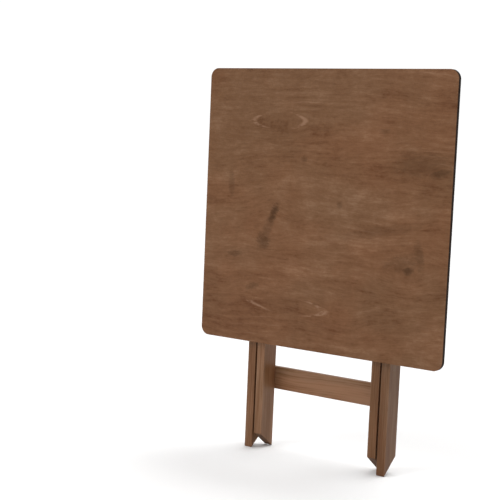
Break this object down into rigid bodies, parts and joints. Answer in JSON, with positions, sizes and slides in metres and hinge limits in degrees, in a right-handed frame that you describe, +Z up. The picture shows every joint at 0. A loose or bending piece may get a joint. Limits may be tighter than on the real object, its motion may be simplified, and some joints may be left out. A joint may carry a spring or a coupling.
{
  "type": "folding tray table",
  "caption": "Folding tray table, stored folded: a square wooden top hangs in front of crossed leg frames that open to carry it.",
  "frame": {"origin": "middle of the folded table's footprint, on the floor", "axes": "+Z up, +X to the viewer's right, the top's show face looks along -Y"},
  "size_m": [0.6, 0.0742, 0.842],
  "materials": {
    "top_wood": "walnut brown satin stain, grain across the top, slight sheen",
    "frame_wood": "walnut brown satin stain, grain along each board",
    "dark_metal": "dark gunmetal, semi-gloss",
    "zinc_screw": "zinc-plated steel",
    "nylon": "black nylon, matt"
  },
  "bodies": {
    "pivots": {"pivot_bolt_left": "dark_metal", "pivot_nut_left": "dark_metal", "pivot_washer_left": "dark_metal", "pivot_spacer_left": "nylon", "pivot_bolt_right": "dark_metal", "pivot_nut_right": "dark_metal", "pivot_washer_right": "dark_metal", "pivot_spacer_right": "nylon"},
    "outer_frame": {"outer_leg_left": "frame_wood", "upper_rail_screw_left_1": "zinc_screw", "upper_rail_screw_left_2": "zinc_screw", "outer_leg_right": "frame_wood", "upper_rail_screw_right_1": "zinc_screw", "upper_rail_screw_right_2": "zinc_screw", "hinge_rod": "dark_metal", "upper_rail": "frame_wood"},
    "inner_frame": {"inner_leg_left": "frame_wood", "lower_rail_screw_left_1": "zinc_screw", "lower_rail_screw_left_2": "zinc_screw", "inner_leg_right": "frame_wood", "lower_rail_screw_right_1": "zinc_screw", "lower_rail_screw_right_2": "zinc_screw", "lower_rail": "frame_wood"},
    "latch_rod": {"latch_rod": "dark_metal"},
    "top": {"tabletop": "top_wood", "bearer_left": "frame_wood", "bearer_screw_left_1": "zinc_screw", "bearer_screw_left_2": "zinc_screw", "bearer_screw_left_3": "zinc_screw", "latch_hook_left": "dark_metal", "latch_hook_screw_left_1": "dark_metal", "latch_hook_screw_left_2": "dark_metal", "bearer_right": "frame_wood", "bearer_screw_right_1": "zinc_screw", "bearer_screw_right_2": "zinc_screw", "bearer_screw_right_3": "zinc_screw", "latch_hook_right": "dark_metal", "latch_hook_screw_right_1": "dark_metal", "latch_hook_screw_right_2": "dark_metal"}
  },
  "joints": [
    {"name": "leg_fold", "type": "hinge", "parent": "pivots", "child": "inner_frame", "pos_m": [0, 0.00085, 0.3585], "axis": [1, 0, 0], "range_deg": [0, 36]},
    {"name": "outer_leg_fold", "type": "hinge", "parent": "pivots", "child": "outer_frame", "pos_m": [0, 0.00085, 0.3585], "axis": [-1, 0, 0], "range_deg": [0, 36.01]},
    {"name": "latch_rod_turn", "type": "hinge", "parent": "inner_frame", "child": "latch_rod", "pos_m": [0, 0.00885, 0.75522], "axis": [-1, 0, 0], "range_deg": [0, 126.01]},
    {"name": "top_travel", "type": "slide", "parent": "latch_rod", "child": "top", "axis": [0, 0, 1], "range_m": [0, 0.4453]}
  ],
  "couplings": [
    {"joint": "outer_leg_fold", "follows": "leg_fold", "ratio": 1},
    {"joint": "latch_rod_turn", "follows": "leg_fold", "ratio": 3.5},
    {"joint": "top_travel", "follows": "leg_fold", "m_per_rad": 0.70868}
  ]
}
